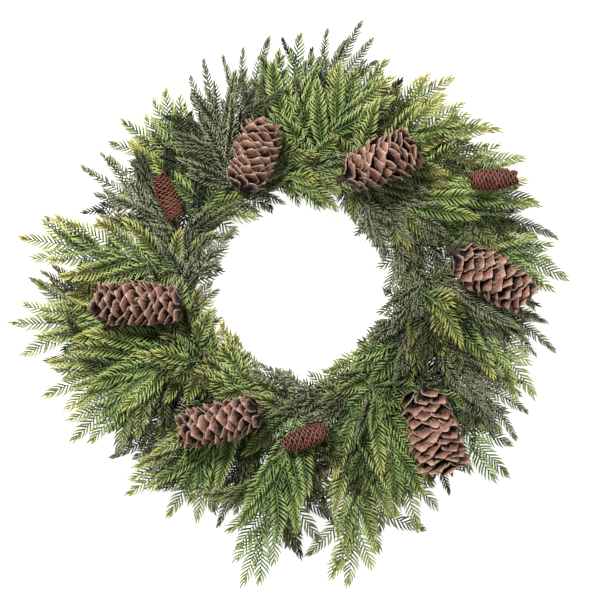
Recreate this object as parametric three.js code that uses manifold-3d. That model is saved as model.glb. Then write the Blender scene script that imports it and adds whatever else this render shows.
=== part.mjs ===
// Pinecone wreath: a twisted vine ring with wire ties, needled branches and cones.
// Millimetres, +Z up. It lies on its back with its front facing +Z and its top towards +Y.
// Everything is laid out round the middle of the ring, and the last lines move the whole
// wreath so that the origin is under the middle of its box.
import * as THREE from 'three';
import { mergeVertices } from 'three/addons/utils/BufferGeometryUtils.js';
import Module from 'manifold-3d';

const wasm = await Module();
wasm.setup();

// The vine ring
const RING_RADIUS = 125; // middle line of the twisted bundle
const VINE_RADIUS = 6.5; // one length of vine
const VINE_COUNT = 3;
const VINE_OFFSET = 8.1; // from the bundle's middle line to the middle of a length
const VINE_TWISTS = 4; // in one lap of the ring
const VINE_STEPS = 40;
const VINE_SIDES = 7;
const VINE_END_GAP = 3; // degrees between the two cut ends of one length
const RING_HEIGHT = 13.1; // middle line above the surface, so the underside is worn flat

// The wire ties
const TIE_COUNT = 4;
const TIE_START = 62; // degrees
const TIE_RADIUS = 15.5;
const TIE_WIRE = 0.7;
const TIE_STEPS = 16;
const TIE_SIDES = 5;
const TIE_CLEARANCE = 0.3;

// The needled branches: flat fronds on nested dished layers, so that they never cross
const FROND_THICKNESS = 1.8;
const LAYER_START = 30.5; // height of layer 0 over the middle line of the ring
const LAYER_STEP = 2.6;
const LAYER_FALL = -0.145; // outward slope of layer 0
const LAYER_LIFT = 0.072; // more outward slope for each layer
const INWARD_SLOPE = 0.12; // the layers dip towards the middle of the wreath
const STEM_HALF_WIDTH = 1.6;
const STEM_STEPS = 4;
const SPRIG_TAPER = 0.3; // the last side sprig is this much shorter than the first
const LAST_SPRIG = 0.82; // from the last side sprig to the tip, in sprig lengths
const BEND_REACH = 0.6; // where the stem bends, as a share of its reach back from the tip
const LEAST_REACH = 72;
const OUTER_BACK = 5; // degrees round the ring from the bend back to the stem's foot
const INNER_BACK = 16;
const PEG_RADIUS = 1.5; // the bent stem end that is wired to the ring
const PEG_BOTTOM = 29.6;
const PEG_SIDES = 6;
const CLEARANCE = 0.35; // between a peg and the other fronds
const FIR = { blade: 62, width: 25, angle: 47, pitch: 19, colour: 0x6f8f4e };
const SPRUCE = { blade: 74, width: 19, angle: 38, pitch: 17, colour: 0x5c6a4c };

// The cones
const LARGE = { rows: 8, sides: 12, lip: 0.62, tip: 0.42, colour: 0x8a5a48 };
const SMALL = { rows: 8, sides: 8, lip: 0.8, tip: 0.45, colour: 0x6e3a2e };
const GIRTH_START = 0.22; // a cone's girth follows a sine curve from here, in half turns
const GIRTH_SPAN = 0.85;
const LIP_START = 0.1; // a row of scales starts and ends here, in rows
const LIP_END = 0.95;
const LIP_NOTCH = 0.16; // the lip is this much narrower between two scale tips
const LIP_DROP = 0.4; // and this much lower, in rows
const SOCKET_CLEARANCE = 2.5; // foliage stops this far from a cone
const SOCKET_END = 0.75; // the socket's ends are this much of its width
const SOCKET_WIDEST = 0.3; // of the cone's length
const SOCKET_SIDES = 10;

// The finishes
const VINE_COLOUR = 0x4a3527;
const VINE_ROUGHNESS = 0.9;
const TIE_COLOUR = 0x3b3a34;
const TIE_ROUGHNESS = 0.5;
const CONE_ROUGHNESS = 0.8;
const NEEDLE_ROUGHNESS = 0.7;
const WELD_DISTANCE = 1e-4;

// Each branch: kind, radius and angle of its tip, heading there, and its layer, back to front
const BRANCHES = [
  [FIR, 308, 170, 172, 4],
  [SPRUCE, 272, 151, 148, 3],
  [SPRUCE, 296, 178, 154, 1],
  [FIR, 318, 187, 180, 2],
  [SPRUCE, 292, 196, 188, 0],
  [FIR, 302, 203, 206, 3],
  [FIR, 298, 214, 226, 4],
  [SPRUCE, 278, 222, 206, 1],
  [FIR, 295, 230, 214, 2],
  [FIR, 288, 240, 240, 3],
  [SPRUCE, 278, 251, 250, 0],
  [FIR, 327, 259, 250, 4],
  [SPRUCE, 284, 267, 268, 1],
  [FIR, 330, 279, 262, 2],
  [FIR, 284, 288, 268, 0],
  [FIR, 294, 296, 286, 3],
  [SPRUCE, 278, 306, 290, 1],
  [FIR, 310, 318, 315, 0],
  [SPRUCE, 288, 325, 302, 2],
  [FIR, 281, 335, 302, 3],
  [SPRUCE, 284, 346, 318, 4],
  [FIR, 294, 2, 336, 1],
  [SPRUCE, 288, 11, 334, 0],
  [FIR, 276, 19, 340, 3],
  [FIR, 284, 30, 4, 2],
  [FIR, 276, 38, 348, 4],
  [FIR, 288, 54, 32, 0],
  [FIR, 266, 69, 48, 3],
  [SPRUCE, 300, 77, 62, 1],
  [FIR, 278, 90, 82, 2],
  [SPRUCE, 278, 97, 70, 0],
  [SPRUCE, 268, 113, 102, 4],
  [FIR, 264, 124, 96, 1],
  [FIR, 270, 137, 146, 0],
  [SPRUCE, 97, 137, 52, 6],
  [FIR, 92, 202, 102, 5],
  [SPRUCE, 94, 240, 150, 6],
  [FIR, 96, 288, 200, 5],
  [SPRUCE, 100, 318, 224, 6],
  [SPRUCE, 104, 350, 262, 5],
  [SPRUCE, 96, 18, 286, 6],
  [FIR, 94, 64, 316, 5],
  [FIR, 190, 202, 166, 7],
  [FIR, 186, 340, 292, 7],
];

// Each cone: kind, radius and angle of its middle, heading of its tip, length, radius,
// height of its axis, and rise of its tip in degrees
const CONES = [
  ['large_cone', LARGE, 151, 109, 71, 80, 25, 71, 6],
  ['large_cone', LARGE, 164, 57, 25, 94, 26, 75, 4],
  ['large_cone', LARGE, 209, 3, -32, 102, 26, 73, -3],
  ['large_cone', LARGE, 215, 312.5, -72, 106, 29, 71, 3],
  ['large_cone', LARGE, 172, 238, 195, 102, 25, 73, -4],
  ['large_cone', LARGE, 179, 185.5, 178, 104, 25, 71, 4],
  ['small_cone', SMALL, 176, 145, 112, 58, 12, 62, 8],
  ['small_cone', SMALL, 241, 29, 4, 58, 12.5, 74, 0],
  ['small_cone', SMALL, 163, 271, 200, 57, 12.5, 62, 2],
];

const radians = THREE.MathUtils.degToRad;

function polar(radius, degrees) {
  return new THREE.Vector2(radius * Math.cos(radians(degrees)), radius * Math.sin(radians(degrees)));
}

function solidOf(geometry) {
  const bare = geometry.clone();
  bare.deleteAttribute('normal');
  bare.deleteAttribute('uv');
  const merged = mergeVertices(bare, WELD_DISTANCE);
  return new wasm.Manifold(new wasm.Mesh({
    numProp: 3,
    vertProperties: new Float32Array(merged.attributes.position.array),
    triVerts: new Uint32Array(merged.index.array),
  }));
}

function geometryOf(solid) {
  const mesh = solid.getMesh();
  const geometry = new THREE.BufferGeometry();
  geometry.setAttribute('position', new THREE.BufferAttribute(mesh.vertProperties, 3));
  geometry.setIndex(new THREE.BufferAttribute(mesh.triVerts, 1));
  geometry.computeVertexNormals();
  return geometry;
}

// A cut can leave crumbs: the piece is the largest body that is left.
function largestBody(solid) {
  return solid.decompose().sort((a, b) => b.volume() - a.volume())[0];
}

function piece(name, geometry, colour, roughness) {
  const material = new THREE.MeshStandardMaterial({ color: colour, roughness, metalness: 0 });
  const mesh = new THREE.Mesh(geometry, material);
  mesh.name = name;
  return mesh;
}

function roundSection(radius, sides) {
  const shape = new THREE.Shape();
  for (let i = 0; i < sides; i++) {
    const corner = polar(radius, (360 * i) / sides);
    if (i === 0) shape.moveTo(corner.x, corner.y);
    else shape.lineTo(corner.x, corner.y);
  }
  return shape;
}

function tube(points, radius, sides, steps) {
  return new THREE.ExtrudeGeometry(roundSection(radius, sides), {
    steps,
    extrudePath: new THREE.CatmullRomCurve3(points),
    bevelEnabled: false,
  });
}

// One length of vine goes once round the ring and twists about the others.
function vineLength(index) {
  const points = [];
  const start = (360 * index) / VINE_COUNT;
  for (let i = 0; i <= VINE_STEPS; i++) {
    const angle = start + VINE_END_GAP / 2 + ((360 - VINE_END_GAP) * i) / VINE_STEPS;
    const twist = VINE_TWISTS * angle + (360 * index) / VINE_COUNT;
    const section = polar(VINE_OFFSET, twist);
    const place = polar(RING_RADIUS + section.x, angle);
    points.push(new THREE.Vector3(place.x, place.y, RING_HEIGHT + section.y));
  }
  return tube(points, VINE_RADIUS, VINE_SIDES, VINE_STEPS);
}

// A wire loop round the bundle, flattened underneath so that it clears the surface.
function tieLoop(angle, wireRadius) {
  const torus = new THREE.TorusGeometry(TIE_RADIUS, wireRadius, TIE_SIDES, TIE_STEPS);
  const lowest = TIE_WIRE + TIE_CLEARANCE;
  const position = torus.attributes.position;
  for (let i = 0; i < position.count; i++) {
    const turn = Math.atan2(position.getY(i), position.getX(i));
    const middle = TIE_RADIUS * Math.sin(turn) + RING_HEIGHT;
    const lift = Math.max(0, lowest - middle);
    position.setY(i, position.getY(i) + RING_HEIGHT + lift);
  }
  torus.rotateX(Math.PI / 2);
  torus.translate(RING_RADIUS, 0, 0);
  torus.rotateZ(radians(angle));
  return torus;
}

// Height of a layer over a place in plan
function layerHeight(layer, x, y) {
  const out = Math.hypot(x, y) - RING_RADIUS;
  const slope = out > 0 ? LAYER_FALL + LAYER_LIFT * layer : INWARD_SLOPE;
  return LAYER_START + LAYER_STEP * layer + slope * out;
}

// The stem's line in plan, from the ring to the tip
function stemLine([, tipRadius, tipAngle, heading]) {
  const tip = polar(tipRadius, tipAngle);
  const reach = Math.max(LEAST_REACH, tipRadius - RING_RADIUS);
  const bend = tip.clone().sub(polar(reach * BEND_REACH, heading));
  const bendAngle = THREE.MathUtils.radToDeg(Math.atan2(bend.y, bend.x));
  const back = tipRadius > RING_RADIUS ? OUTER_BACK : INNER_BACK;
  return new THREE.QuadraticBezierCurve(polar(RING_RADIUS, bendAngle + back), bend, tip);
}

function plate(outline) {
  return solidOf(new THREE.ExtrudeGeometry(new THREE.Shape(outline), {
    depth: FROND_THICKNESS,
    bevelEnabled: false,
  }));
}

// A flat frond: a narrow stem with leaf-shaped sprigs on alternate sides and one at its end
function flatFrond(branch) {
  const kind = branch[0];
  const line = stemLine(branch);
  const length = line.getLength();
  const place = (along, across) => {
    const t = THREE.MathUtils.clamp(along / length, 0, 1);
    const point = line.getPointAt(t);
    const ahead = line.getTangentAt(t);
    const over = along - t * length;
    return new THREE.Vector2(
      point.x + ahead.x * over - ahead.y * across,
      point.y + ahead.y * over + ahead.x * across,
    );
  };
  const sprig = (root, turn, reach) => {
    const half = kind.width / 2;
    const corners = [[0, 0], [reach / 2, -half], [reach, 0], [reach / 2, half]];
    return plate(corners.map(([along, across]) => place(
      root + along * Math.cos(turn) - across * Math.sin(turn),
      along * Math.sin(turn) + across * Math.cos(turn),
    )));
  };
  const sides = [-1, 1].map((sign) => Array.from({ length: STEM_STEPS + 1 }, (_, i) => place(
    ((length - kind.blade / 2) * i) / STEM_STEPS,
    sign * STEM_HALF_WIDTH,
  )));
  const stem = plate([...sides[0], ...sides[1].reverse()]);
  let frond = stem.add(sprig(length - kind.blade, 0, kind.blade));
  const lastSprig = length - kind.blade * LAST_SPRIG;
  const sideCount = Math.max(1, Math.floor(lastSprig / kind.pitch));
  for (let i = 0; i < sideCount; i++) {
    const root = lastSprig - (sideCount - 1 - i) * kind.pitch;
    const reach = kind.blade * (1 - (SPRIG_TAPER * (i + 1)) / sideCount);
    const turn = radians(kind.angle) * (i % 2 === 0 ? 1 : -1);
    frond = frond.add(sprig(root, turn, reach));
  }
  return frond;
}

// The frond raised onto its dished layer
function frondSolid(branch) {
  const geometry = geometryOf(flatFrond(branch));
  const position = geometry.attributes.position;
  for (let i = 0; i < position.count; i++) {
    const height = layerHeight(branch[4], position.getX(i), position.getY(i));
    position.setZ(i, position.getZ(i) + height);
  }
  return solidOf(geometry);
}

// The bent end of the stem that reaches down to the ring
function pegGeometry(branch, radius) {
  const foot = stemLine(branch).getPointAt(0);
  const top = layerHeight(branch[4], foot.x, foot.y) + FROND_THICKNESS / 2;
  const peg = new THREE.CylinderGeometry(radius, radius, top - PEG_BOTTOM, PEG_SIDES);
  peg.rotateX(Math.PI / 2);
  peg.translate(foot.x, foot.y, (top + PEG_BOTTOM) / 2);
  return peg;
}

// A cone: rows of scales round its axis, each row's tips between those of the row before
function coneGeometry(kind, length, radius) {
  const girth = (t) => {
    const turn = Math.PI * Math.min(1, GIRTH_START + GIRTH_SPAN * t);
    return radius * (kind.tip + (1 - kind.tip) * Math.sin(turn));
  };
  const rowHeight = length / kind.rows;
  const profile = [new THREE.Vector2(0, 0)];
  for (let row = 0; row < kind.rows; row++) {
    const inner = girth(row / kind.rows) * kind.lip;
    profile.push(new THREE.Vector2(inner, (row + LIP_START) * rowHeight));
    profile.push(new THREE.Vector2(girth((row + 1) / kind.rows), (row + LIP_END) * rowHeight));
  }
  profile.push(new THREE.Vector2(0, length));
  const cone = new THREE.LatheGeometry(profile, kind.sides);
  const position = cone.attributes.position;
  for (let i = 0; i < position.count; i++) {
    const lipRow = (i % profile.length) / 2;
    if (lipRow === 0 || lipRow !== Math.floor(lipRow)) continue;
    const turn = Math.atan2(position.getX(i), position.getZ(i));
    const between = 0.5 - 0.5 * Math.cos((turn * kind.sides) / 2 + lipRow * Math.PI);
    const shrink = 1 - LIP_NOTCH * between;
    position.setX(i, position.getX(i) * shrink);
    position.setZ(i, position.getZ(i) * shrink);
    position.setY(i, position.getY(i) - LIP_DROP * between * rowHeight);
  }
  return cone;
}

// The room that the foliage leaves for a cone
function socketGeometry(length, radius) {
  const wide = radius + SOCKET_CLEARANCE;
  const profile = [
    new THREE.Vector2(0, -SOCKET_CLEARANCE),
    new THREE.Vector2(wide * SOCKET_END, -SOCKET_CLEARANCE),
    new THREE.Vector2(wide, length * SOCKET_WIDEST),
    new THREE.Vector2(wide * SOCKET_END, length + SOCKET_CLEARANCE),
    new THREE.Vector2(0, length + SOCKET_CLEARANCE),
  ];
  return new THREE.LatheGeometry(profile, SOCKET_SIDES);
}

function placeCone(object, [, , middleRadius, middleAngle, heading, length, , height, rise]) {
  const flat = polar(Math.cos(radians(rise)), heading);
  const axis = new THREE.Vector3(flat.x, flat.y, Math.sin(radians(rise)));
  const middle = polar(middleRadius, middleAngle);
  object.quaternion.setFromUnitVectors(new THREE.Vector3(0, 1, 0), axis);
  object.position.set(middle.x, middle.y, height).addScaledVector(axis, -length / 2);
  object.updateMatrixWorld();
  return object;
}

const wreath = new THREE.Group();

const groundBox = new THREE.BoxGeometry(4 * RING_RADIUS, 4 * RING_RADIUS, 2 * RING_RADIUS);
const ground = solidOf(groundBox.translate(0, 0, -RING_RADIUS));
const tieAngles = Array.from({ length: TIE_COUNT }, (_, i) => TIE_START + (360 * i) / TIE_COUNT);
const tieGrooves = tieAngles.map((angle) => solidOf(tieLoop(angle, TIE_WIRE + TIE_CLEARANCE)));
for (let i = 0; i < VINE_COUNT; i++) {
  let vine = solidOf(vineLength(i)).subtract(ground);
  for (const groove of tieGrooves) vine = vine.subtract(groove);
  wreath.add(piece(`vine_length_${i + 1}`, geometryOf(largestBody(vine)), VINE_COLOUR, VINE_ROUGHNESS));
}

tieAngles.forEach((angle, i) => {
  wreath.add(piece(`wire_tie_${i + 1}`, tieLoop(angle, TIE_WIRE), TIE_COLOUR, TIE_ROUGHNESS));
});

const coneCount = { large_cone: 0, small_cone: 0 };
const sockets = [];
for (const cone of CONES) {
  const [name, kind, , , , length, radius] = cone;
  coneCount[name] += 1;
  const shape = coneGeometry(kind, length, radius);
  const mesh = piece(`${name}_${coneCount[name]}`, shape, kind.colour, CONE_ROUGHNESS);
  wreath.add(placeCone(mesh, cone));
  const socket = placeCone(new THREE.Mesh(socketGeometry(length, radius)), cone);
  sockets.push(solidOf(socket.geometry.applyMatrix4(socket.matrixWorld)));
}

const branchCount = { fir_branch: 0, spruce_branch: 0 };
for (const branch of BRANCHES) {
  const name = branch[0] === FIR ? 'fir_branch' : 'spruce_branch';
  branchCount[name] += 1;
  let frond = frondSolid(branch);
  for (const socket of sockets) frond = frond.subtract(socket);
  for (const other of BRANCHES) {
    if (other !== branch) frond = frond.subtract(solidOf(pegGeometry(other, PEG_RADIUS + CLEARANCE)));
  }
  frond = frond.add(solidOf(pegGeometry(branch, PEG_RADIUS)));
  const number = String(branchCount[name]).padStart(2, '0');
  const shape = geometryOf(largestBody(frond));
  wreath.add(piece(`${name}_${number}`, shape, branch[0].colour, NEEDLE_ROUGHNESS));
}

const box = new THREE.Box3().setFromObject(wreath, true);
const middle = box.getCenter(new THREE.Vector3());
wreath.position.set(-middle.x, -middle.y, -box.min.z);

export default wreath;
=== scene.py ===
import math
import random

import bpy
from mathutils import Matrix, Vector


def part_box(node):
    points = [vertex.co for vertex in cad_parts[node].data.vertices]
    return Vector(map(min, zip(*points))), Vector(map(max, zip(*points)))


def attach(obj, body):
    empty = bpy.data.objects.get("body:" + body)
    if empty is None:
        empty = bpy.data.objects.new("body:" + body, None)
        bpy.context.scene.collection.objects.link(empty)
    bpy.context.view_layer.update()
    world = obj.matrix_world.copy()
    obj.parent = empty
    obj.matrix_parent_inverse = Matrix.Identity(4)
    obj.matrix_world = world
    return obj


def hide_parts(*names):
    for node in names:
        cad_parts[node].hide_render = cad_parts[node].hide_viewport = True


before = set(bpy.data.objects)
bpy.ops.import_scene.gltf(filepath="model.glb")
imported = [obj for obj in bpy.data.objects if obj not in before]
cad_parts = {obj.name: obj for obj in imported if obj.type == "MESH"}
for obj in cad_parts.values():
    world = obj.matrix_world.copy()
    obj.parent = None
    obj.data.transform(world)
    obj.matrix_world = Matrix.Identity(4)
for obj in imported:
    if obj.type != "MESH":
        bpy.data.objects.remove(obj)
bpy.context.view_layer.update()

# ---------------------------------------------------------------------------------------------
# The vine ring. Three lengths of dark grapevine, twisted round each other while green and left
# to dry, so that they hold their own shape. Everything else is tied or glued to this ring.
# ---------------------------------------------------------------------------------------------
RING_RADIUS = 0.125
VINE_RADIUS = 0.0062
VINE_OFFSET = 0.0081
VINE_COUNT = 3
VINE_TWISTS = 4
VINE_END_GAP = 3
RING_HEIGHT = 0.0131
VINE_SINK = 0.0003
VINE_STEPS = 260
VINE_LUMP = 0.0012
LUMP_SIZE = 0.006
vine_low, vine_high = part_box("vine_length_1")
RING_X = (vine_low[0] + vine_high[0]) / 2
RING_Y = (vine_low[1] + vine_high[1]) / 2


def polar(radius, degrees):
    """A place in plan, measured from the middle of the ring."""
    turn = math.radians(degrees)
    return Vector((radius * math.cos(turn), radius * math.sin(turn), 0))


class Sock:
    """A socket of a node tree. Sums written on it add Math nodes, and node() adds any other."""

    def __init__(self, tree, socket=None):
        self.tree = tree
        self.socket = socket

    def node(self, kind, settings=None, values=None, output=0):
        made = self.tree.nodes.new(kind)
        for name, value in (settings or {}).items():
            if name != "stops":
                setattr(made, name, value)
                continue
            ramp = made.color_ramp
            while len(ramp.elements) < len(value):
                ramp.elements.new(1)
            for element, (place, colour) in zip(ramp.elements, value):
                element.position = place
                element.color = (*colour, 1)
        for name, value in (values or {}).items():
            if isinstance(value, Sock):
                self.tree.links.new(value.socket, made.inputs[name])
            else:
                made.inputs[name].default_value = value
        return Sock(self.tree, made.outputs[output] if len(made.outputs) else None)

    def of(self, output):
        """Another output of the node that this socket belongs to."""
        return Sock(self.tree, self.socket.node.outputs[output])

    def sum(self, operation, first, second=0.0):
        return self.node("ShaderNodeMath", {"operation": operation}, {0: first, 1: second})

    def __add__(self, other):
        return self.sum("ADD", self, other)

    def __radd__(self, other):
        return self.sum("ADD", other, self)

    def __sub__(self, other):
        return self.sum("SUBTRACT", self, other)

    def __rsub__(self, other):
        return self.sum("SUBTRACT", other, self)

    def __mul__(self, other):
        return self.sum("MULTIPLY", self, other)

    def __rmul__(self, other):
        return self.sum("MULTIPLY", other, self)

    def __truediv__(self, other):
        return self.sum("DIVIDE", self, other)

    def __pow__(self, other):
        return self.sum("POWER", self, other)

    def vector(self, operation, first, second=None, scale=None):
        values = {0: first}
        if second is not None:
            values[1] = second
        if scale is not None:
            values["Scale"] = scale
        return self.node("ShaderNodeVectorMath", {"operation": operation}, values)

    def blend(self, first, second):
        """A mix of two colours, with this socket as the share of the second."""
        return self.node("ShaderNodeMix", {"data_type": "RGBA"}, {0: self, 6: first, 7: second}, 2)

    def noise(self, place, scale, detail=3.0, stretch=(1, 1, 1)):
        """Noise over a place, stretched along its axes."""
        moved = self.node("ShaderNodeMapping", None, {"Vector": place, "Scale": stretch})
        return self.node("ShaderNodeTexNoise", None, {
            "Vector": moved, "Scale": scale, "Detail": detail})


def finish_material(name, colour, roughness, height, bump_distance, specular=0.4):
    """A material from a colour, a roughness and a height that its maker works out."""
    made = bpy.data.materials.new(name)
    made.use_nodes = True
    tree = made.node_tree
    tree.nodes.clear()
    start = Sock(tree)
    place = start.node("ShaderNodeTexCoord").of("Object")
    bump = start.node("ShaderNodeBump", None, {
        "Strength": 0.6, "Distance": bump_distance, "Height": height(start, place)})
    surface = start.node("ShaderNodeBsdfPrincipled", None, {
        "Base Color": colour(start, place), "Roughness": roughness(start, place),
        "Normal": bump, "Specular IOR Level": specular})
    start.node("ShaderNodeOutputMaterial", None, {"Surface": surface})
    return made


def rgb(red, green, blue):
    """A colour as seen on a screen, 0 to 255, turned into the linear light that shaders use."""
    linear = [(c / 255 / 12.92) if c <= 10 else (((c / 255) + 0.055) / 1.055) ** 2.4
              for c in (red, green, blue)]
    return (*linear, 1)


def add_group(name, inputs):
    """A geometry tree with one mesh in, one mesh out, and named inputs for its sizes."""
    tree = bpy.data.node_groups.new(name, "GeometryNodeTree")
    tree.interface.new_socket("Geometry", in_out="INPUT", socket_type="NodeSocketGeometry")
    for label, kind in inputs:
        tree.interface.new_socket(label, in_out="INPUT", socket_type="NodeSocket" + kind)
    tree.interface.new_socket("Geometry", in_out="OUTPUT", socket_type="NodeSocketGeometry")
    start = Sock(tree, tree.nodes.new("NodeGroupInput").outputs[0])
    return tree, start


def grow(name, mesh, tree, values):
    """Runs a geometry tree on a mesh and returns the result as a plain mesh object."""
    seed = bpy.data.objects.new(name + "_start", mesh)
    bpy.context.scene.collection.objects.link(seed)
    modifier = seed.modifiers.new("grow", "NODES")
    modifier.node_group = tree
    for item in tree.interface.items_tree:
        if item.item_type == "SOCKET" and item.in_out == "INPUT" and item.name in values:
            modifier[item.identifier] = values[item.name]
    graph = bpy.context.evaluated_depsgraph_get()
    grown = bpy.data.meshes.new_from_object(
        seed.evaluated_get(graph), preserve_all_data_layers=True, depsgraph=graph)
    bpy.data.objects.remove(seed)
    made = bpy.data.objects.new(name, grown)
    bpy.context.scene.collection.objects.link(made)
    return made


def line_mesh(name, lines, attributes):
    """Open lines as a mesh of edges. A line is a list of (point, {attribute: value})."""
    points = [point for line in lines for point, _ in line]
    edges = []
    first = 0
    for line in lines:
        edges += [(first + i, first + i + 1) for i in range(len(line) - 1)]
        first += len(line)
    mesh = bpy.data.meshes.new(name)
    mesh.from_pydata(points, edges, [])
    for label, kind in attributes:
        layer = mesh.attributes.new(label, kind, "POINT")
        values = [values[label] for line in lines for _, values in line]
        if kind == "FLOAT_VECTOR":
            layer.data.foreach_set("vector", [c for value in values for c in value])
        else:
            layer.data.foreach_set("value", values)
    return mesh


def bark_colour(start, place):
    grain = start.noise(place, 90.0, 5.0)
    return start.node("ShaderNodeValToRGB", {"stops": [
        (0.3, rgb(34, 24, 20)[:3]), (0.5, rgb(66, 50, 40)[:3]), (0.7, rgb(112, 90, 74)[:3])]},
        {"Fac": grain})


def bark_roughness(start, place):
    return start.noise(place, 160.0) * 0.3 + 0.65


def bark_height(start, place):
    return start.noise(place, 260.0, 6.0)


bark = finish_material("grapevine_bark", bark_colour, bark_roughness, bark_height, 0.0015, 0.25)


def rope_tree():
    """Tubes along lines, with a wandering thickness and a lumpy skin, as dry vine has."""
    tree, start = add_group("vine_lengths", [
        ("Radius", "Float"), ("Lump Depth", "Float"), ("Bark", "Material")])
    line = start.node("GeometryNodeMeshToCurve", None, {"Mesh": start})
    thick = start.node("GeometryNodeInputNamedAttribute", {"data_type": "FLOAT"}, {"Name": "thick"})
    sized = start.node("GeometryNodeSetCurveRadius", None, {
        "Curve": line, "Radius": thick * start.of("Radius")})
    ring = start.node("GeometryNodeCurvePrimitiveCircle", None, {"Resolution": 10, "Radius": 1.0})
    values = {"Curve": sized, "Profile Curve": ring, "Fill Caps": True}
    skin = start.node("GeometryNodeCurveToMesh", None, values)
    if "Scale" in [s.name for s in skin.socket.node.inputs]:
        tree.links.new((thick * start.of("Radius")).socket, skin.socket.node.inputs["Scale"])
    here = start.node("GeometryNodeInputPosition")
    lump = start.node("ShaderNodeTexNoise", None, {
        "Vector": here, "Scale": 1.0 / LUMP_SIZE, "Detail": 3.0})
    out = start.node("GeometryNodeInputNormal")
    push = start.node("ShaderNodeVectorMath", {"operation": "SCALE"}, {
        0: out, "Scale": (lump - 0.5) * start.of("Lump Depth")})
    lumpy = start.node("GeometryNodeSetPosition", None, {"Geometry": skin, "Offset": push})
    real = start.node("GeometryNodeRealizeInstances", None, {"Geometry": lumpy})
    smooth = start.node("GeometryNodeSetShadeSmooth", None, {"Geometry": real})
    painted = start.node("GeometryNodeSetMaterial", None, {
        "Geometry": smooth, "Material": start.of("Bark")})
    start.node("NodeGroupOutput", None, {"Geometry": painted})
    return tree


def ring_point(angle, twist, offset):
    """A place on the twisted bundle: its angle round the ring and its turn round the bundle."""
    out = math.cos(math.radians(twist)) * offset
    up = math.sin(math.radians(twist)) * offset
    return polar(RING_RADIUS + out, angle) + Vector((RING_X, RING_Y, RING_HEIGHT + up))


vine_tree = rope_tree()
for index in range(VINE_COUNT):
    draw = random.Random(index)
    line = []
    for i in range(VINE_STEPS + 1):
        start_angle = 360 * index / VINE_COUNT + VINE_END_GAP / 2
        angle = start_angle + (360 - VINE_END_GAP) * i / VINE_STEPS
        twist = VINE_TWISTS * angle + 360 * index / VINE_COUNT
        thick = 0.93 + 0.07 * math.sin(angle / 7 + index * 2)
        line.append((ring_point(angle, twist, VINE_OFFSET - VINE_SINK), {"thick": thick}))
    mesh = line_mesh("vine_line", [line], [("thick", "FLOAT")])
    vine = grow(f"vine_{index + 1}", mesh, vine_tree, {
        "Radius": VINE_RADIUS, "Lump Depth": VINE_LUMP, "Bark": bark})
    for corner in vine.data.vertices:
        corner.co.z = max(corner.co.z, 0.0)
    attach(vine, "root")
    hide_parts(f"vine_length_{index + 1}")

# ---------------------------------------------------------------------------------------------
# The wire ties. Thin dark green coated wire goes twice round the vine bundle, and its two ends
# are twisted together and bent flat. They hold the lengths of vine and the stem ends.
# ---------------------------------------------------------------------------------------------
TIE_START = 62
TIE_COUNT = 4
TIE_RADIUS = 0.0155
TIE_WIRE = 0.0007
TIE_TURNS = 2
TIE_STEPS = 96
TIE_SPREAD = 1.6
TAIL_STEPS = 24


def tie_colour(start, place):
    return start.noise(place, 300.0).blend(rgb(32, 38, 30), rgb(58, 62, 48))


def tie_roughness(start, place):
    return start.noise(place, 200.0) * 0.2 + 0.35


tie_finish = finish_material("coated_wire", tie_colour, tie_roughness, bark_height, 0.0001)
for index in range(TIE_COUNT):
    angle = TIE_START + 360 * index / TIE_COUNT
    line = []
    for i in range(TIE_STEPS + 1):
        turn = 90 + 360 * TIE_TURNS * i / TIE_STEPS
        place = ring_point(angle + (i / TIE_STEPS - 0.5) * TIE_SPREAD, turn, TIE_RADIUS)
        place.z = max(place.z, TIE_WIRE + 0.0003)
        line.append((place, {"thick": 1.0}))
    tail = []
    for i in range(TAIL_STEPS + 1):
        turn = 60 + i * 1.2
        place = ring_point(angle + 0.6 * math.sin(i * 1.3), turn, TIE_RADIUS + 0.0012)
        tail.append((place, {"thick": 1.0}))
    mesh = line_mesh("tie_line", [line, tail], [("thick", "FLOAT")])
    tie = grow(f"tie_{index + 1}", mesh, vine_tree, {
        "Radius": TIE_WIRE, "Lump Depth": 0.0, "Bark": tie_finish})
    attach(tie, "root")
    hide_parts(f"wire_tie_{index + 1}")

# ---------------------------------------------------------------------------------------------
# The cones. Each has a woody core with scales in spirals round it, wide and open on the large
# ones, short and tight on the small ones, and is glued where it lies.
# ---------------------------------------------------------------------------------------------
# Node, radius and angle of its middle, heading of its tip, length, radius, height, rise
LARGE_CONES = [
    ("large_cone_1", 0.151, 109, 71, 0.080, 0.025, 0.071, 6),
    ("large_cone_2", 0.164, 57, 25, 0.094, 0.026, 0.075, 4),
    ("large_cone_3", 0.209, 3, -32, 0.102, 0.026, 0.073, -3),
    ("large_cone_4", 0.215, 312.5, -72, 0.106, 0.029, 0.071, 3),
    ("large_cone_5", 0.172, 238, 195, 0.102, 0.0235, 0.073, -4),
    ("large_cone_6", 0.179, 185.5, 178, 0.104, 0.025, 0.071, 4),
]
SMALL_CONES = [
    ("small_cone_1", 0.176, 145, 112, 0.058, 0.012, 0.062, 8),
    ("small_cone_2", 0.241, 29, 4, 0.058, 0.0125, 0.074, 0),
    ("small_cone_3", 0.163, 271, 200, 0.057, 0.0125, 0.062, 2),
]
GOLDEN_TURN = math.radians(137.508)


def cone_axis(cone):
    """The middle of a cone and the direction of its tip."""
    _, radius, angle, heading, _, _, height, rise = cone
    flat = polar(math.cos(math.radians(rise)), heading)
    middle = polar(radius, angle) + Vector((RING_X, RING_Y, height))
    return middle, Vector((flat.x, flat.y, math.sin(math.radians(rise))))


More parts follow.
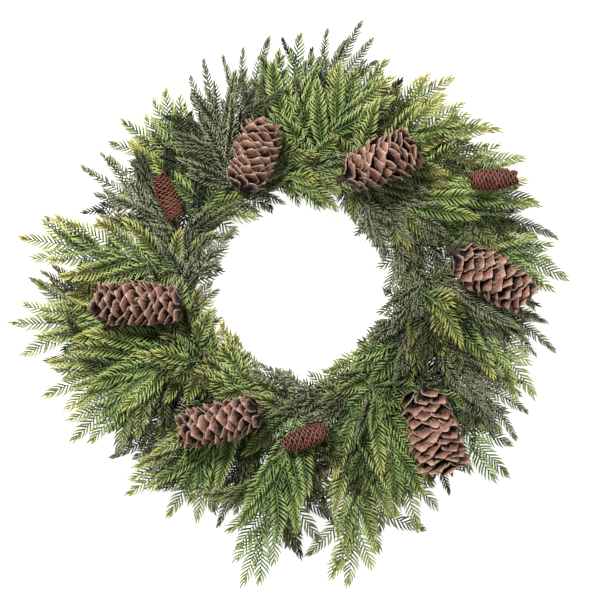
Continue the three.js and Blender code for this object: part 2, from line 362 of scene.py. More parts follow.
def scale_mesh(name, across, along, width, thickness, cup, lip):
    """One cone scale, one unit long, rooted at the origin and reaching along +Z. Its outer face
    looks along +X. It is narrow at the root, broadest near the end, and ends in a blunt point."""
    points = []
    for side in (1, -1):
        for j in range(along + 1):
            t = j / along
            wide = 0.42 + 0.58 * math.sin(math.pi / 2 * min(1, t / 0.68)) ** 1.3
            if t > 0.68:
                wide = 1 - 0.52 * ((t - 0.68) / 0.32) ** 1.6
            half = width / 2 * wide
            for i in range(across + 1):
                s = 2 * i / across - 1
                reach = t * (1 - 0.2 * abs(s) ** 1.4)
                rise = lip * t ** 4 - cup * (s * s) * t + 0.05 * math.sin(math.pi * t)
                skin = thickness * (0.5 + 0.5 * t) * (1 - 0.55 * abs(s) ** 3)
                if t == 1 or abs(s) == 1:
                    skin *= 0.35
                points.append((rise + side * skin / 2, s * half, reach))
    count = (along + 1) * (across + 1)
    faces = []
    for j in range(along):
        for i in range(across):
            a = j * (across + 1) + i
            b, c, d = a + 1, a + across + 2, a + across + 1
            faces.append((a, b, c, d))
            faces.append((count + d, count + c, count + b, count + a))
    rim = [i for i in range(across + 1)]
    rim += [j * (across + 1) + across for j in range(1, along + 1)]
    rim += [along * (across + 1) + i for i in range(across - 1, -1, -1)]
    rim += [j * (across + 1) for j in range(along - 1, 0, -1)]
    for a, b in zip(rim, rim[1:] + rim[:1]):
        faces.append((b, a, count + a, count + b))
    mesh = bpy.data.meshes.new(name)
    mesh.from_pydata(points, [], faces)
    reach = mesh.attributes.new("reach", "FLOAT", "POINT")
    reach.data.foreach_set("value", [p[2] for p in points])
    edge = mesh.attributes.new("edge", "FLOAT", "POINT")
    edge.data.foreach_set("value", [
        max(abs(2 * (k % (across + 1)) / across - 1) ** 4, max(0, p[2] - 0.72) / 0.28)
        for k, p in enumerate(points)])
    made = bpy.data.objects.new(name, mesh)
    bpy.context.scene.collection.objects.link(made)
    made.hide_render = True
    made.hide_viewport = True
    return made


def cone_tree():
    """Scales set in a golden spiral round a core that runs along +Y."""
    tree, start = add_group("cone_scales", [
        ("Length", "Float"), ("Radius", "Float"), ("Scale Length", "Float"), ("Open", "Float"),
        ("Tip Open", "Float"), ("Core", "Float"), ("Roughness", "Float"), ("Seed", "Int"),
        ("Scale", "Object"), ("Wood", "Material")])
    index = start.node("GeometryNodeInputIndex")
    count = start.node("GeometryNodeAttributeDomainSize", {"component": "MESH"}, {
        "Geometry": start})
    along = index / count
    turn = index * GOLDEN_TURN

    def chance(low, high, offset):
        return start.node("FunctionNodeRandomValue", {"data_type": "FLOAT"}, {
            2: low, 3: high, "ID": index, "Seed": start.of("Seed") + offset}, 1)

    wobble = chance(-1.0, 1.0, 0)
    girth = start.sum("SINE", (along * 0.68 + 0.18) * math.pi) ** 0.8
    core = girth * start.of("Radius") * start.of("Core") + 0.0006
    out = start.node("ShaderNodeCombineXYZ", None, {
        "X": start.sum("COSINE", turn), "Z": start.sum("SINE", turn)})
    axis = start.node("ShaderNodeCombineXYZ", None, {"Y": 1.0})
    height = (along ** 1.18 * 0.86 + 0.01) * start.of("Length")
    lift = start.node("ShaderNodeCombineXYZ", None, {"Y": height})
    place = start.vector("ADD", start.vector("SCALE", out, None, core), lift)
    flare = along ** 4
    ragged = start.of("Roughness") * (0.08 + flare * 0.24)
    lean = start.of("Open") + start.of("Tip Open") * flare + wobble * ragged
    lean = lean + (1 - along) ** 8 * 0.35
    direction = start.vector(
        "ADD", start.vector("SCALE", axis, None, start.sum("COSINE", lean)),
        start.vector("SCALE", out, None, start.sum("SINE", lean)))
    twist = chance(-0.4, 0.4, 17) * start.of("Roughness")
    across = start.vector("CROSS_PRODUCT", axis, out)
    facing = start.vector("ADD", out, start.vector("SCALE", across, None, twist))
    turned = start.node("FunctionNodeAxesToRotation", {
        "primary_axis": "Z", "secondary_axis": "X"}, {0: direction, 1: facing})
    size = start.of("Scale Length") * chance(0.9, 1.08, 7) * (0.4 + girth * 0.6)
    scaled = start.node("ShaderNodeCombineXYZ", None, {"X": size, "Y": size, "Z": size})
    moved = start.node("GeometryNodeSetPosition", None, {"Geometry": start, "Position": place})
    shape = start.node("GeometryNodeObjectInfo", None, {"Object": start.of("Scale")}, "Geometry")
    copies = start.node("GeometryNodeInstanceOnPoints", None, {
        "Points": moved, "Instance": shape, "Rotation": turned, "Scale": scaled})
    tinted = start.node("GeometryNodeStoreNamedAttribute", {
        "data_type": "FLOAT", "domain": "INSTANCE"}, {
        "Geometry": copies, "Name": "tint", "Value": wobble * 0.5 + 0.5})
    real = start.node("GeometryNodeRealizeInstances", None, {"Geometry": tinted})
    here = start.node("GeometryNodeInputPosition")
    warp = start.node("ShaderNodeTexNoise", None, {
        "Vector": here, "Scale": 130.0, "Detail": 1.0}, 1)
    shift = start.vector(
        "SCALE", start.vector("SUBTRACT", warp, (0.5, 0.5, 0.5)), None,
        start.of("Scale Length") * start.of("Roughness") * 0.22)
    crumpled = start.node("GeometryNodeSetPosition", None, {"Geometry": real, "Offset": shift})
    smooth = start.node("GeometryNodeSetShadeSmooth", None, {"Geometry": crumpled})
    painted = start.node("GeometryNodeSetMaterial", None, {
        "Geometry": smooth, "Material": start.of("Wood")})
    start.node("NodeGroupOutput", None, {"Geometry": painted})
    return tree


def cone_colour(dark, middle, pale, edge_colour):
    def colour(start, place):
        reach = start.node("ShaderNodeAttribute", {"attribute_name": "reach"}).of("Fac")
        edge = start.node("ShaderNodeAttribute", {"attribute_name": "edge"}).of("Fac")
        tint = start.node("ShaderNodeAttribute", {"attribute_name": "tint"}).of("Fac")
        grain = start.noise(place, 420.0, 4.0)
        patch = start.noise(place, 75.0, 2.0)
        # Scale colour from root to tip: the near-black roots are painted shade where each scale
        # lies under the next, while grain, patches and tint are the wood's own colour.
        tone_and_painted_shade = start.node("ShaderNodeValToRGB", {"stops": [
            (0.46, dark[:3]), (0.62, middle[:3]), (1.0, pale[:3])]}, {
            "Fac": reach * 0.85 + (grain - 0.5) * 0.55 + (patch - 0.5) * 0.4 + tint * 0.1})
        rim = start.sum("MINIMUM", edge * edge * 0.6, 1.0)
        return rim.blend(tone_and_painted_shade, edge_colour)
    return colour


def cone_roughness(start, place):
    return start.noise(place, 300.0) * 0.25 + 0.55


def cone_height(start, place):
    return start.noise(place, 500.0, 6.0)


# The first colour of each is the painted shade at the scale roots.
large_wood = finish_material("open_cone_scales", cone_colour(
    rgb(8, 3, 2), rgb(116, 78, 62), rgb(182, 148, 130), rgb(208, 178, 158)),
    cone_roughness, cone_height, 0.0008, 0.25)
small_wood = finish_material("tight_cone_scales", cone_colour(
    rgb(10, 2, 1), rgb(80, 32, 20), rgb(122, 70, 52), rgb(190, 138, 114)),
    cone_roughness, cone_height, 0.0005, 0.25)
large_scale = scale_mesh("large_scale", 6, 7, 0.98, 0.05, 0.07, 0.12)
small_scale = scale_mesh("small_scale", 4, 4, 1.7, 0.10, 0.16, 0.12)
scale_tree = cone_tree()


def core_mesh(length, radius):
    """The woody core, lofted round +Y, closed at both ends."""
    rings, sides = 14, 12
    points = [(0, 0, 0)]
    for j in range(1, rings):
        t = j / rings
        wide = radius * math.sin(math.pi * (0.2 + 0.8 * t)) ** 0.75 * min(1, 6 * t) + 0.0008
        for i in range(sides):
            turn = 2 * math.pi * i / sides
            points.append((wide * math.cos(turn), length * t, wide * math.sin(turn)))
    points.append((0, length, 0))
    faces = []
    for i in range(sides):
        k = (i + 1) % sides
        faces.append((0, 1 + i, 1 + k))
        for j in range(rings - 2):
            a = 1 + j * sides
            faces.append((a + i, a + sides + i, a + sides + k, a + k))
        last = 1 + (rings - 2) * sides
        faces.append((last + i, last + sides, last + k))
    mesh = bpy.data.meshes.new("cone_core")
    mesh.from_pydata(points, [], faces)
    return mesh


def join(name, objects):
    """Several mesh objects as one."""
    for thing in bpy.context.selected_objects:
        thing.select_set(False)
    for thing in objects:
        thing.select_set(True)
    bpy.context.view_layer.objects.active = objects[0]
    bpy.ops.object.join()
    objects[0].name = name
    return objects[0]


# Shares of a cone's length, and of its radius for the stem
CORE_LENGTH = 0.9
STEM_ROOT = 0.1
STEM_SHARE = 0.13
STUB_STEPS = 7


def make_cone(cone, kind, tip_open, stem_reach, seed):
    node, _, _, _, length, radius, _, _ = cone
    marks = bpy.data.meshes.new("marks")
    marks.from_pydata([(0, 0, 0)] * kind["scales"], [], [])
    skin = grow(node + "_scales", marks, scale_tree, {
        "Length": length, "Radius": radius, "Scale Length": radius * kind["scale length"],
        "Open": kind["open"], "Tip Open": tip_open, "Core": kind["core"],
        "Roughness": kind["rough"], "Seed": seed, "Scale": kind["scale"], "Wood": kind["wood"]})
    heart = bpy.data.objects.new("core", core_mesh(length * CORE_LENGTH, radius * kind["core"]))
    heart.data.materials.append(kind["wood"])
    bpy.context.scene.collection.objects.link(heart)
    root = length * STEM_ROOT
    stub = line_mesh("stub", [[
        (Vector((0, root * (1 - i / STUB_STEPS) - stem_reach * i / STUB_STEPS, 0)), {"thick": 1.0})
        for i in range(STUB_STEPS + 1)]], [("thick", "FLOAT")])
    stem = grow("stem", stub, vine_tree, {
        "Radius": radius * STEM_SHARE, "Lump Depth": VINE_LUMP, "Bark": bark})
    middle, axis = cone_axis(cone)
    spin = Vector((0, 1, 0)).rotation_difference(axis).to_matrix().to_4x4()
    place = Matrix.Translation(middle - axis * (length / 2)) @ spin
    whole = join(node.replace("cone", "pinecone"), [skin, heart, stem])
    whole.data.transform(place)
    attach(whole, "root")
    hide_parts(node)


LARGE = {
    "scales": 84, "scale length": 0.93, "open": 0.55, "core": 0.44, "rough": 0.8,
    "scale": large_scale, "wood": large_wood, "slot": "large_cone",
}
SMALL = {
    "scales": 150, "scale length": 0.5, "open": 0.62, "core": 0.64, "rough": 0.35,
    "scale": small_scale, "wood": small_wood, "slot": "small_cone",
}
# How far each large cone's last scales spread, and how far its stem stands out
TIP_OPEN = [0.1, 0.7, 0.15, 0.6, 0.4, 0.2]
STEM_REACH = [0.0, 0.009, 0.009, 0.0, 0.0, 0.0]
SMALL_STEM_REACH = 0.002
for seed, cone in enumerate(LARGE_CONES):
    make_cone(cone, LARGE, TIP_OPEN[seed], STEM_REACH[seed], seed)
for seed, cone in enumerate(SMALL_CONES):
    make_cone(cone, SMALL, 0.0, SMALL_STEM_REACH, seed)

# ---------------------------------------------------------------------------------------------
# The branches. Each is a moulded branch on a wire stem: a main stem with sprigs on alternate
# sides, and needles all along. The stem's end is bent down and tied and glued to the ring.
# Fir sprigs are flat combs of bright needles; spruce sprigs are long, narrow and grey-olive.
# ---------------------------------------------------------------------------------------------
LAYER_START = 0.0305
LAYER_STEP = 0.0026
LAYER_FALL = -0.145
LAYER_LIFT = 0.072
INWARD_SLOPE = 0.12
FIR = {
    "name": "fir_branch", "slot": "fir_needles", "sprig": 0.068, "angle": 30, "pitch": 0.0125,
    "needle": 0.0165, "spacing": 0.0043, "ranks": 2, "lean": 1.02, "flat": 0.25, "wide": 0.0023,
    "fill": 22,
}
SPRUCE = {
    "name": "spruce_branch", "slot": "spruce_needles", "sprig": 0.078, "angle": 25, "pitch": 0.0125,
    "needle": 0.0118, "spacing": 0.0036, "ranks": 3, "lean": 0.98, "flat": 0.5, "wide": 0.0019,
    "fill": 16,
}
# Kind, radius and angle of the tip, heading there, layer from back to front, and yellowing
BRANCHES = [
    (FIR, 0.308, 170, 172, 4, 0.8),
    (SPRUCE, 0.272, 151, 148, 3, 0.2),
    (SPRUCE, 0.296, 178, 154, 1, 0.3),
    (FIR, 0.318, 187, 180, 2, 0.5),
    (SPRUCE, 0.292, 196, 188, 0, 0.2),
    (FIR, 0.302, 203, 206, 3, 0.6),
    (FIR, 0.298, 214, 226, 4, 0.4),
    (SPRUCE, 0.278, 222, 206, 1, 0.3),
    (FIR, 0.295, 230, 214, 2, 0.4),
    (FIR, 0.288, 240, 240, 3, 0.3),
    (SPRUCE, 0.278, 251, 250, 0, 0.4),
    (FIR, 0.327, 259, 250, 4, 0.3),
    (SPRUCE, 0.284, 267, 268, 1, 0.4),
    (FIR, 0.330, 279, 262, 2, 0.6),
    (FIR, 0.284, 288, 268, 0, 0.3),
    (FIR, 0.294, 296, 286, 3, 0.3),
    (SPRUCE, 0.278, 306, 290, 1, 0.0),
    (FIR, 0.310, 318, 315, 0, 0.2),
    (SPRUCE, 0.288, 325, 302, 2, 0.1),
    (FIR, 0.281, 335, 302, 3, 0.4),
    (SPRUCE, 0.284, 346, 318, 4, 0.3),
    (FIR, 0.294, 2, 336, 1, 0.3),
    (SPRUCE, 0.288, 11, 334, 0, 0.2),
    (FIR, 0.276, 19, 340, 3, 0.3),
    (FIR, 0.284, 30, 4, 2, 0.7),
    (FIR, 0.276, 38, 348, 4, 0.7),
    (FIR, 0.288, 54, 32, 0, 0.8),
    (FIR, 0.266, 69, 48, 3, 0.4),
    (SPRUCE, 0.300, 77, 62, 1, 0.2),
    (FIR, 0.278, 90, 82, 2, 0.3),
    (SPRUCE, 0.278, 97, 70, 0, 0.0),
    (SPRUCE, 0.268, 113, 102, 4, 0.2),
    (FIR, 0.264, 124, 96, 1, 0.6),
    (FIR, 0.270, 137, 146, 0, 0.4),
    (SPRUCE, 0.097, 137, 52, 6, 0.2),
    (FIR, 0.092, 202, 102, 5, 0.7),
    (SPRUCE, 0.094, 240, 150, 6, 0.4),
    (FIR, 0.096, 288, 200, 5, 0.3),
    (SPRUCE, 0.100, 318, 224, 6, 0.2),
    (SPRUCE, 0.104, 350, 262, 5, 0.2),
    (SPRUCE, 0.096, 18, 286, 6, 0.3),
    (FIR, 0.094, 64, 316, 5, 0.4),
    (FIR, 0.190, 202, 166, 7, 0.5),
    (FIR, 0.186, 340, 292, 7, 0.7),
]
SOCKET_GAP = 0.005
HOLE_RADIUS = 0.094
LOWEST = 0.008
STEM_STEPS = 24
SPRIG_STEPS = 8
STEM_RADIUS = 0.0012
BARE_LENGTH = 0.018
SHANK_LENGTH = 0.022
SHANK_HEIGHT = 0.028
OUTER_BACK = 5
INNER_BACK = 16
LEAST_REACH = 0.072
BEND_REACH = 0.6
INNER_SCALE = 0.62


def layer_height(layer, x, y):
    """The height of a layer of branches over a place in plan, measured from the ring's middle."""
    out = math.hypot(x, y) - RING_RADIUS
    slope = LAYER_FALL + LAYER_LIFT * layer if out > 0 else INWARD_SLOPE
    return LAYER_START + LAYER_STEP * layer + slope * out


def press_under_cones(point):
    """Foliage is pressed down under a cone that lies on it."""
    for cone in LARGE_CONES + SMALL_CONES:
        middle, axis = cone_axis(cone)
        length, radius = cone[4], cone[5] + SOCKET_GAP
        flat = Vector((axis.x, axis.y, 0)).normalized()
        away = Vector((point.x - middle.x, point.y - middle.y, 0))
        along = max(-length / 2, min(length / 2, away.dot(flat)))
        aside = (away - flat * along).length
        if aside < radius:
            under = middle.z + axis.z * along - math.sqrt(radius * radius - aside * aside)
            point.z = min(point.z, under)
    point.z = max(point.z, LOWEST)
    return point


def bezier(first, bend, last, t):
    return first * (1 - t) ** 2 + bend * 2 * t * (1 - t) + last * t ** 2


def heading_of(vector):
    return math.degrees(math.atan2(vector.y, vector.x))


def stem_path(branch, count):
    """The main stem's line in plan, from the ring to the tip."""
    kind, radius, angle, heading, _, _ = branch
    tip = polar(radius, angle) - polar(kind["needle"] * 0.5, heading)
    bend = tip - polar(max(LEAST_REACH, radius - RING_RADIUS) * BEND_REACH, heading)
    back = OUTER_BACK if radius > RING_RADIUS else INNER_BACK
    foot = polar(RING_RADIUS, heading_of(bend) + back)
    return [bezier(foot, bend, tip, i / count) for i in range(count + 1)]


def mark(along, size, thick, tint, deep, up):
    return {"along": along, "size": size, "thick": thick, "tint": tint, "deep": deep, "up": up}


def sprig_line(root, heading, turn, length, layer, rise, tint, deep, roll, droop, outer):
    """One sprig: it leaves its stem at a heading and curves back towards the stem's own."""
    start = Vector((root.x, root.y, 0))

    def places(long):
        made = [start]
        for i in range(SPRIG_STEPS):
            made.append(made[-1] + polar(long / SPRIG_STEPS, heading + turn * i / SPRIG_STEPS))
        return made

    while length > 0.02 and not HOLE_RADIUS < places(length)[-1].length < outer:
        length *= 0.88
    line = []
    plan = places(length)
    lift = root.z - layer_height(layer, root.x, root.y)
    for i, place in enumerate(plan):
        t = i / SPRIG_STEPS
        reach = length * t
        height = layer_height(layer, place.x, place.y)
        z = height + lift * (1 - t) + rise * reach - droop * reach * t
        point = press_under_cones(Vector((place.x + RING_X, place.y + RING_Y, z)))
        ahead = (plan[min(i + 1, SPRIG_STEPS)] - plan[max(i - 1, 0)]).normalized()
        across = Vector((-ahead.y, ahead.x, 0))
        up = (Vector((0, 0, 1)) * math.cos(roll) + across * math.sin(roll)).normalized()
        line.append((point, mark(t, 1.0, 0.5 - 0.3 * t, tint, deep, up)))
    return line


def branch_lines(branch, seed):
    kind, radius, _, _, layer, tint = branch
    draw = random.Random(seed)
    path = stem_path(branch, STEM_STEPS)
    length = sum((b - a).length for a, b in zip(path, path[1:]))
    main = []
    spots = []
    travelled = 0.0
    for i, place in enumerate(path):
        if i:
            travelled += (place - path[i - 1]).length
        height = layer_height(layer, place.x, place.y)
        shank = max(0.0, 1 - travelled / SHANK_LENGTH)
        z = height * (1 - shank ** 2) + SHANK_HEIGHT * shank ** 2
        point = press_under_cones(Vector((place.x + RING_X, place.y + RING_Y, z)))
        t = travelled / length
        bare = 0.0 if travelled < BARE_LENGTH else 1.0
        ahead = path[min(i + 1, STEM_STEPS)] - path[max(i - 1, 0)]
        near_tip = max(0.0, 1 - (length - travelled) / kind["sprig"])
        # The main stem's own needles get a little painted shade.
        main.append((point, mark(near_tip, bare, 0.9 - 0.7 * t, tint, 0.15, Vector((0, 0, 1)))))
        spots.append((travelled, Vector((place.x, place.y, point.z)), heading_of(ahead)))
    lines = [main]

    def add(spot, turn, curl, size, drop, rise, edge):
        tint_here = min(1, max(0, tint + draw.uniform(-0.3, 0.2)))
        root = spot[1] - Vector((0, 0, drop))
        # A sprig dropped below its stem gets painted shade in step with the drop.
        lines.append(sprig_line(
            root, spot[2] + turn, curl, size * kind["sprig"], layer, rise, tint_here,
            min(1, drop / 0.012), draw.uniform(-0.5, 0.5), draw.uniform(0.0, 0.15),
            max(radius, RING_RADIUS) - edge))

    def spot_at(distance):
        return min(spots, key=lambda s: abs(s[0] - distance))

    is_outer = radius > RING_RADIUS
    scale = 1.0 if is_outer else INNER_SCALE
    along = 0.020
    side = 1 if draw.random() < 0.5 else -1
    while along < length - kind["sprig"] * 0.68 * scale:
        turn = kind["angle"] + draw.uniform(-9, 9)
        size = scale * (1.05 - 0.35 * along / length) * draw.uniform(0.85, 1.12)
        add(spot_at(along), side * turn, -side * draw.uniform(8, 26), size, 0.0,
            draw.uniform(-0.02, 0.32), draw.uniform(0.008, 0.030))
        along += kind["pitch"] * draw.uniform(0.85, 1.15)
        side = -side
    for i in range(kind["fill"] if is_outer else 4):
        add(spot_at(draw.uniform(0.01, 0.60) * length), draw.choice((-1, 1)) * draw.uniform(12, 75),
            draw.uniform(-25, 25), scale * draw.uniform(0.7, 1.1), draw.uniform(0.003, 0.014), 0.0,
            draw.uniform(0.02, 0.06))
    for i in range(0 if is_outer else 13):
        about = heading_of(path[0]) + draw.uniform(-26, 26)
        root = polar(RING_RADIUS + draw.uniform(-0.014, 0.024), about)
        root.z = draw.uniform(0.026, 0.036)
        add((0, root, about - 90), draw.uniform(-38, 42), draw.uniform(-12, 12),
            draw.uniform(0.5, 0.75), 0.004, 0.05, -0.08)
    if is_outer and layer < 6:
        for inward in (-150, -125, -100, -75, 40, 70):
            add(spots[2], inward + draw.uniform(-14, 14), draw.uniform(-10, 10),
                draw.uniform(0.5, 0.85), draw.uniform(0, 0.008), draw.uniform(-0.05, 0.2), 0.03)
    return lines


def needle_mesh(name, stations, thickness, bend):
    """One needle, one unit long and one wide, reaching along +Z, bowed towards +X, keeled below."""
    points = []
    for t, half in stations:
        lean = bend * t * t
        points += [(lean + half, half * thickness, t), (lean - half, half * thickness, t),
                   (lean, -half * thickness, t)]
    points.append((bend, 0, 1))
    faces = [(0, 1, 2)]
    for j in range(len(stations) - 1):
        for i in range(3):
            a, b = 3 * j + i, 3 * j + (i + 1) % 3
            faces.append((a, a + 3, b + 3, b))
    last = 3 * (len(stations) - 1)
    faces += [(last + i, len(points) - 1, last + (i + 1) % 3) for i in range(3)]
    mesh = bpy.data.meshes.new(name)
    mesh.from_pydata(points, [], faces)
    reach = mesh.attributes.new("reach", "FLOAT", "POINT")
    reach.data.foreach_set("value", [p[2] for p in points])
    made = bpy.data.objects.new(name, mesh)
    bpy.context.scene.collection.objects.link(made)
    made.hide_render = True
    made.hide_viewport = True
    return made


def sprig_tree():
    """Needles in ranks along lines, each leaning forward and away from the line's plane."""
    tree, start = add_group("needled_sprigs", [
        ("Needle Length", "Float"), ("Needle Width", "Float"), ("Spacing", "Float"),
        ("Ranks", "Int"), ("Lean", "Float"), ("Roundness", "Float"), ("Stem Radius", "Float"),
        ("Seed", "Int"), ("Needle", "Object"), ("Needle Finish", "Material"),
        ("Stem Finish", "Material")])
    curve = start.node("GeometryNodeMeshToCurve", None, {"Mesh": start})

    def attribute(label, kind="FLOAT"):
        return start.node("GeometryNodeInputNamedAttribute", {"data_type": kind}, {"Name": label})

    spots = start.node("GeometryNodeCurveToPoints", {"mode": "LENGTH"}, {
        "Curve": curve, "Length": start.of("Spacing")})
    tangent = spots.of("Tangent")
    bare = start.node("FunctionNodeCompare", {"data_type": "FLOAT", "operation": "LESS_THAN"}, {
        0: attribute("size"), 1: 0.5})
    kept = start.node("GeometryNodeDeleteGeometry", {"domain": "POINT"}, {
        "Geometry": spots, "Selection": bare})
    ranks = start.node("GeometryNodeDuplicateElements", {"domain": "POINT"}, {
        "Geometry": kept, "Amount": start.of("Ranks")})
    rank = ranks.of("Duplicate Index")
    index = start.node("GeometryNodeInputIndex")

    def chance(low, high, offset):
        return start.node("FunctionNodeRandomValue", {"data_type": "FLOAT"}, {
            2: low, 3: high, "ID": index, "Seed": start.of("Seed") + offset}, 1)

    along = attribute("along")
    up = attribute("up", "FLOAT_VECTOR")
    side = start.vector("NORMALIZE", start.vector("CROSS_PRODUCT", up, tangent))
    over = start.vector("NORMALIZE", start.vector("CROSS_PRODUCT", tangent, side))
    around = rank / (start.of("Ranks") - 1) * math.pi + chance(-0.22, 0.22, 3)
    lean = start.of("Lean") * (1 - 0.45 * along ** 4) + chance(-0.09, 0.09, 5)
    aside = start.vector("SCALE", side, None, start.sum("COSINE", around))
    above = start.vector(
        "SCALE", over, None, start.sum("SINE", around) * start.of("Roundness") + 0.10)
    away = start.vector("NORMALIZE", start.vector("ADD", aside, above))
    direction = start.vector(
        "ADD", start.vector("SCALE", tangent, None, start.sum("COSINE", lean)),
        start.vector("SCALE", away, None, start.sum("SINE", lean)))
    turned = start.node("FunctionNodeAxesToRotation", {
        "primary_axis": "Z", "secondary_axis": "X"}, {0: direction, 1: tangent})
    long = start.of("Needle Length") * chance(0.88, 1.08, 9)
    long = long * (1 - 0.42 * along ** 3 - 0.35 * (1 - along) ** 6)
    size = start.node("ShaderNodeCombineXYZ", None, {
        "X": start.of("Needle Width"), "Y": start.of("Needle Width"), "Z": long})
    stagger = start.vector(
        "SCALE", tangent, None,
        start.of("Spacing") * (rank / start.of("Ranks") + chance(-0.15, 0.15, 11)))
    moved = start.node("GeometryNodeSetPosition", None, {"Geometry": ranks, "Offset": stagger})
    shape = start.node("GeometryNodeObjectInfo", None, {"Object": start.of("Needle")}, "Geometry")
    copies = start.node("GeometryNodeInstanceOnPoints", None, {
        "Points": moved, "Instance": shape, "Rotation": turned, "Scale": size})
    needles = start.node("GeometryNodeRealizeInstances", None, {"Geometry": copies})
    finished = start.node("GeometryNodeSetMaterial", None, {
        "Geometry": needles, "Material": start.of("Needle Finish")})
    ring = start.node("GeometryNodeCurvePrimitiveCircle", None, {"Resolution": 6, "Radius": 1.0})
    thick = attribute("thick") * start.of("Stem Radius")
    sized = start.node("GeometryNodeSetCurveRadius", None, {"Curve": curve, "Radius": thick})
    stem = start.node("GeometryNodeCurveToMesh", None, {
        "Curve": sized, "Profile Curve": ring, "Fill Caps": True})
    if "Scale" in [s.name for s in stem.socket.node.inputs]:
        tree.links.new(thick.socket, stem.socket.node.inputs["Scale"])
    painted = start.node("GeometryNodeSetMaterial", None, {
        "Geometry": stem, "Material": start.of("Stem Finish")})
    both = start.node("GeometryNodeJoinGeometry", None, {"Geometry": finished})
    tree.links.new(painted.socket, both.socket.node.inputs["Geometry"])
    smooth = start.node("GeometryNodeSetShadeSmooth", None, {"Geometry": both})
    start.node("NodeGroupOutput", None, {"Geometry": smooth})
    return tree


def needle_colour(root, middle, tip, old_root, old_tip):
    """Green needles that pale towards their tips, yellower at the ends of yellowed sprigs, and
    darkened by painted shade on sprigs set low in the wreath."""
    def colour(start, place):
        def attribute(name):
            return start.node("ShaderNodeAttribute", {"attribute_name": name}).of("Fac")
        reach, tint, along = attribute("reach"), attribute("tint"), attribute("along")
        patch = start.noise(place, 28.0, 2.0)
        # Needles darken towards their roots. This is partly their own colour and partly painted
        # shade where they crowd at the stem.
        fresh = start.node("ShaderNodeValToRGB", {"stops": [
            (0.0, root[:3]), (0.45, middle[:3]), (1.0, tip[:3])]}, {
            "Fac": reach * 0.75 + (patch - 0.5) * 0.8 + 0.05})
        old = (reach * 0.7 + patch * 0.4).blend(old_root, old_tip)
        yellowed = tint * (along * along * 1.2 + 0.1) + (patch - 0.5) * 0.4
        share = start.sum("MINIMUM", start.sum("MAXIMUM", yellowed, 0.0), 1.0)
        # Painted shade: needles on lower sprigs are blended towards near black, standing in for the
        # shadow of the foliage above them.
        dark = attribute("deep") * 0.9
        return dark.blend(share.blend(fresh, old), (0.004, 0.006, 0.002, 1))
    return colour


def needle_roughness(start, place):
    return start.noise(place, 60.0) * 0.2 + 0.42


def needle_height(start, place):
    return start.noise(place, 900.0, 2.0)


def stem_colour(dark, pale):
    def colour(start, place):
        return start.noise(place, 120.0, 4.0).blend(dark, pale)
    return colour


# The first colour of each is the needle root, near black partly as painted shade.
fir_finish = finish_material("fir_needles", needle_colour(
    rgb(16, 30, 6), rgb(130, 158, 84), rgb(218, 228, 168), rgb(108, 108, 26), rgb(234, 224, 130)),
    needle_roughness, needle_height, 0.0002)
spruce_finish = finish_material("spruce_needles", needle_colour(
    rgb(20, 24, 10), rgb(122, 128, 96), rgb(196, 200, 168), rgb(94, 96, 46), rgb(194, 188, 138)),
    needle_roughness, needle_height, 0.0002)
fir_stem = finish_material("fir_stem", stem_colour(rgb(62, 78, 44), rgb(116, 134, 92)),
                           bark_roughness, bark_height, 0.0003)
spruce_stem = finish_material("spruce_stem", stem_colour(rgb(60, 58, 42), rgb(112, 110, 86)),
                              bark_roughness, bark_height, 0.0003)
fir_needle = needle_mesh("fir_needle", [(0.0, 0.36), (0.6, 0.5)], 0.35, 1.7)
spruce_needle = needle_mesh("spruce_needle", [(0.0, 0.4), (0.6, 0.5)], 0.5, 1.2)
needle_tree = sprig_tree()
LINE_ATTRIBUTES = [("along", "FLOAT"), ("size", "FLOAT"), ("thick", "FLOAT"), ("tint", "FLOAT"),
                   ("deep", "FLOAT"), ("up", "FLOAT_VECTOR")]
made_so_far = {"fir_branch": 0, "spruce_branch": 0}
for seed, branch in enumerate(BRANCHES):
    kind = branch[0]
    made_so_far[kind["name"]] += 1
    node = f"{kind['name']}_{made_so_far[kind['name']]:02d}"
    is_fir = kind is FIR
    lines = line_mesh("stems", branch_lines(branch, seed), LINE_ATTRIBUTES)
    foliage = grow(node.replace("branch", "foliage"), lines, needle_tree, {
        "Needle Length": kind["needle"], "Needle Width": kind["wide"],
        "Spacing": kind["spacing"], "Ranks": kind["ranks"], "Lean": kind["lean"],
        "Roundness": kind["flat"], "Stem Radius": STEM_RADIUS, "Seed": seed * 31,
        "Needle": fir_needle if is_fir else spruce_needle,
        "Needle Finish": fir_finish if is_fir else spruce_finish,
        "Stem Finish": fir_stem if is_fir else spruce_stem})
    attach(foliage, "root")
    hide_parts(node)

for pattern in (large_scale, small_scale, fir_needle, spruce_needle):
    bpy.data.objects.remove(pattern)

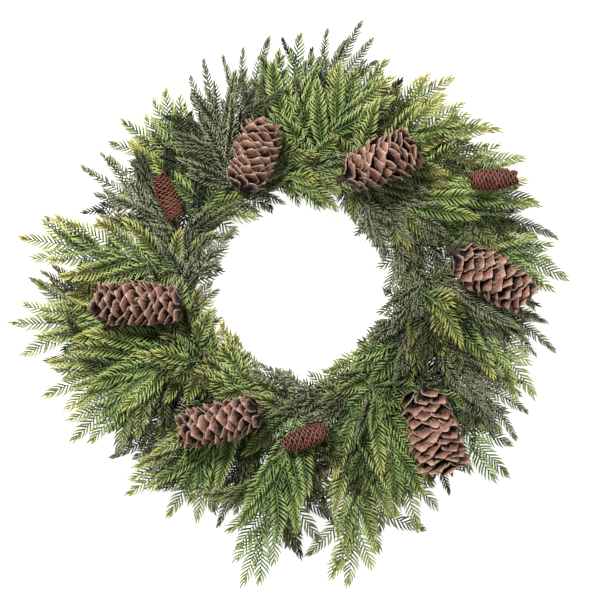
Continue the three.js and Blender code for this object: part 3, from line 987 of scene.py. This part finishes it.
# ---------------------------------------------------------------------------------------------
# The setting. A plain white floor that glows a little, broad soft light from all round, and a
# camera that looks straight down on the wreath.
# ---------------------------------------------------------------------------------------------
FLOOR_HALF = 6.0
FLOOR_GLOW = 0.85
floor_mesh = bpy.data.meshes.new("floor")
floor_mesh.from_pydata([
    (-FLOOR_HALF, -FLOOR_HALF, 0), (FLOOR_HALF, -FLOOR_HALF, 0),
    (FLOOR_HALF, FLOOR_HALF, 0), (-FLOOR_HALF, FLOOR_HALF, 0)], [], [(0, 1, 2, 3)])
floor = bpy.data.objects.new("floor", floor_mesh)
bpy.context.scene.collection.objects.link(floor)
floor_paint = bpy.data.materials.new("floor_paint")
floor_paint.use_nodes = True
floor_surface = floor_paint.node_tree.nodes["Principled BSDF"]
floor_surface.inputs["Base Color"].default_value = (0.6, 0.6, 0.6, 1)
floor_surface.inputs["Emission Color"].default_value = (1, 1, 1, 1)
floor_surface.inputs["Emission Strength"].default_value = FLOOR_GLOW
floor_surface.inputs["Roughness"].default_value = 0.9
floor_mesh.materials.append(floor_paint)


def area_light(name, place, size, power):
    """A square soft light that looks at the middle of the wreath."""
    data = bpy.data.lights.new(name, "AREA")
    data.size = size
    data.energy = power
    made = bpy.data.objects.new(name, data)
    bpy.context.scene.collection.objects.link(made)
    made.location = place
    made.rotation_euler = Vector(place).to_track_quat("Z", "Y").to_euler()
    return made


area_light("key", (-0.8, 1.3, 2.2), 0.45, 108)
area_light("fill", (1.6, -0.8, 2.0), 1.8, 20)
world = bpy.data.worlds.new("studio")
bpy.context.scene.world = world
world.use_nodes = True
world.node_tree.nodes["Background"].inputs["Color"].default_value = (1, 1, 1, 1)
world.node_tree.nodes["Background"].inputs["Strength"].default_value = 0.22
bpy.context.scene.view_settings.view_transform = "Standard"

CAMERA_HEIGHT = 3.0
VIEW_WIDTH = 0.650
FOCUS_HEIGHT = 0.05
camera_data = bpy.data.cameras.new("camera")
camera_data.sensor_width = 36
camera_data.lens = 36 * (CAMERA_HEIGHT - FOCUS_HEIGHT) / VIEW_WIDTH
camera = bpy.data.objects.new("camera", camera_data)
camera.location = (RING_X - 0.005, RING_Y - 0.0132, CAMERA_HEIGHT)
bpy.context.scene.collection.objects.link(camera)
bpy.context.scene.camera = camera
